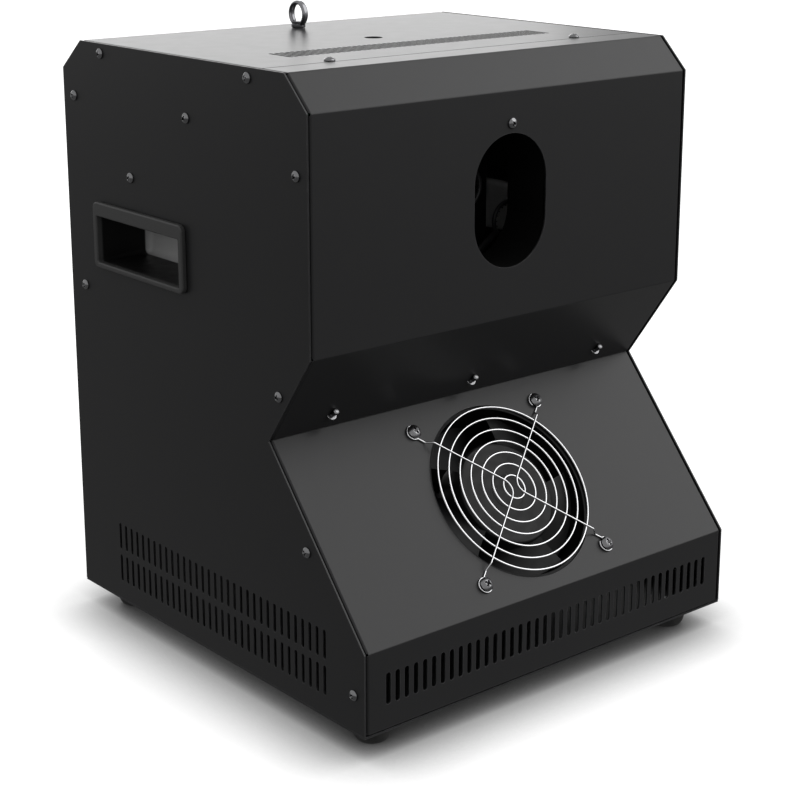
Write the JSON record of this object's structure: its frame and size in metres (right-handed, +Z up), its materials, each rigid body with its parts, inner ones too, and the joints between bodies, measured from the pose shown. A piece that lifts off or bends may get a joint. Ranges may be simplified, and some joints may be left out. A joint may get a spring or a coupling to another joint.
{
  "type": "bubble machine",
  "caption": "Stage bubble and haze machine: black folded steel case with hand pockets, oval outlet, sloping panel with guarded fan, vents, lifting eye and feet.",
  "frame": {"origin": "on the floor under the middle of the footprint", "axes": "+X to the machine's right as seen from its front, +Y towards the rear, +Z up; the front faces -Y"},
  "size_m": [0.3176, 0.3158, 0.4129],
  "materials": {
    "painted_steel": "satin black powder coat",
    "black_plastic": "moulded, satin",
    "rubber": "matt",
    "chrome": "polished",
    "dark_chrome": "polished, dark",
    "zinc": "zinc plated",
    "cast_metal": "cast, black",
    "wheel_plastic": "moulded, smoked",
    "tank_plastic": "blow moulded, black",
    "clear_hose": "clear hose",
    "circuit_board": "solder mask",
    "window": "smoked window",
    "red_plastic": "moulded"
  },
  "bodies": {
    "case": {"back_panel": "painted_steel", "base_pan": "painted_steel", "bubble_pump": "black_plastic", "bubble_suction_hose": "clear_hose", "bubble_tank": "tank_plastic", "control_board": "circuit_board", "display_window": "window", "duct_screw": "dark_chrome", "eye_bolt": "dark_chrome", "eye_bolt_nut": "zinc", "fan_guard": "chrome", "fluid_tray": "wheel_plastic", "foot_front_left": "rubber", "foot_front_right": "rubber", "foot_rear_left": "rubber", "foot_rear_right": "rubber", "front_lower_cover": "painted_steel", "front_upper_cover": "painted_steel", "guard_screw_1": "dark_chrome", "guard_screw_2": "dark_chrome", "guard_screw_3": "dark_chrome", "guard_screw_4": "dark_chrome", "haze_feed_hose": "clear_hose", "haze_heater": "cast_metal", "haze_pump": "black_plastic", "haze_suction_hose": "clear_hose", "haze_tank": "tank_plastic", "haze_tube": "zinc", "left_handle": "black_plastic", "left_side_panel": "painted_steel", "lower_fan_frame": "cast_metal", "middle_shelf": "painted_steel", "outlet_duct": "black_plastic", "outlet_fan_frame": "cast_metal", "power_inlet": "black_plastic", "power_supply": "zinc", "right_handle": "black_plastic", "right_side_panel": "painted_steel", "switch_housing": "black_plastic", "top_cover": "painted_steel", "tray_feed_hose": "clear_hose", "wheel_motor": "cast_metal", "works_plate": "painted_steel"},
    "lower_fan_rotor": {"lower_fan_rotor": "black_plastic"},
    "outlet_fan_rotor": {"outlet_fan_rotor": "black_plastic"},
    "bubble_wheel": {"bubble_wheel": "wheel_plastic", "wheel_shaft": "zinc"},
    "switch_rocker": {"switch_rocker": "red_plastic"},
    "fuse_drawer": {"fuse_drawer": "black_plastic"},
    "haze_tank_cap": {"haze_tank_cap": "black_plastic"},
    "bubble_tank_cap": {"bubble_tank_cap": "black_plastic"},
    "menu_button_1": {"menu_button_1": "black_plastic"},
    "menu_button_2": {"menu_button_2": "black_plastic"},
    "menu_button_3": {"menu_button_3": "black_plastic"},
    "menu_button_4": {"menu_button_4": "black_plastic"}
  },
  "joints": [
    {"name": "lower_fan_spin", "type": "hinge", "parent": "case", "child": "lower_fan_rotor", "pos_m": [0, -0.10063, 0.10968], "axis": [0, -0.7635, 0.6458], "continuous": true},
    {"name": "outlet_fan_spin", "type": "hinge", "parent": "case", "child": "outlet_fan_rotor", "pos_m": [0, -0.02645, 0.3059], "axis": [0, -1, 0], "continuous": true},
    {"name": "bubble_wheel_spin", "type": "hinge", "parent": "case", "child": "bubble_wheel", "pos_m": [0, -0.0542, 0.246], "axis": [0, -1, 0], "continuous": true},
    {"name": "switch_tip", "type": "hinge", "parent": "case", "child": "switch_rocker", "pos_m": [-0.05, 0.1533, 0.203], "axis": [1, 0, 0], "range_deg": [0, 16]},
    {"name": "fuse_drawer_slide", "type": "slide", "parent": "case", "child": "fuse_drawer", "axis": [0, 1, 0], "range_m": [0, 0.02]},
    {"name": "haze_cap_lift", "type": "slide", "parent": "case", "child": "haze_tank_cap", "axis": [0, 0.7071, 0.7071], "range_m": [0, 0.06]},
    {"name": "bubble_cap_lift", "type": "slide", "parent": "case", "child": "bubble_tank_cap", "axis": [0, 0.7071, 0.7071], "range_m": [0, 0.06]},
    {"name": "menu_button_1_press", "type": "slide", "parent": "case", "child": "menu_button_1", "axis": [0, -1, 0], "range_m": [0, 0.0008], "stiffness_N_per_m": 400},
    {"name": "menu_button_2_press", "type": "slide", "parent": "case", "child": "menu_button_2", "axis": [0, -1, 0], "range_m": [0, 0.0008], "stiffness_N_per_m": 400},
    {"name": "menu_button_3_press", "type": "slide", "parent": "case", "child": "menu_button_3", "axis": [0, -1, 0], "range_m": [0, 0.0008], "stiffness_N_per_m": 400},
    {"name": "menu_button_4_press", "type": "slide", "parent": "case", "child": "menu_button_4", "axis": [0, -1, 0], "range_m": [0, 0.0008], "stiffness_N_per_m": 400}
  ]
}
